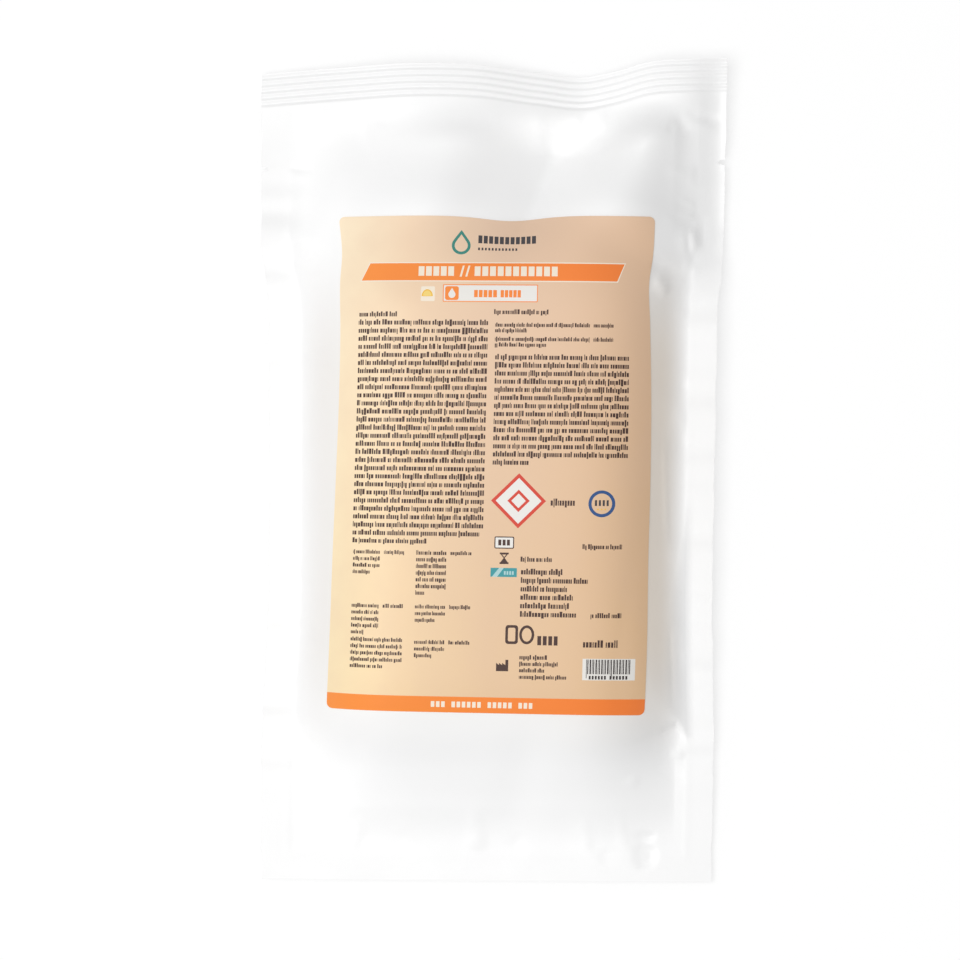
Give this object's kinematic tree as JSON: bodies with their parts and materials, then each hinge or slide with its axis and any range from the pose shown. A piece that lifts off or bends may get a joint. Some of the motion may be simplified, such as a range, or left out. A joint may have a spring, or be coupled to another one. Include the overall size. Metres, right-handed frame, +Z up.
{
  "type": "wet wipes pack",
  "caption": "Sealed white film pouch of wet wipes with flat side seals, a ribbed mouth seal, a soft bulge from the roll inside and a large peach adhesive label on its front.",
  "frame": {"origin": "the table under the middle of the pack's outline, as it lies on its back", "axes": "+Z up out of the label, +Y along the pack from the bottom seal to the ribbed mouth seal, +X across it, to the right with the label facing the viewer and the mouth seal at the top"},
  "size_m": [0.192, 0.3389, 0.0443],
  "materials": {
    "white_film": "satin white packaging film, softly folded",
    "label": "smooth printed label, peach with orange bands and small dark print"
  },
  "bodies": {
    "root": {"sealed_pouch": "white_film", "front_label": "label"}
  },
  "joints": []
}
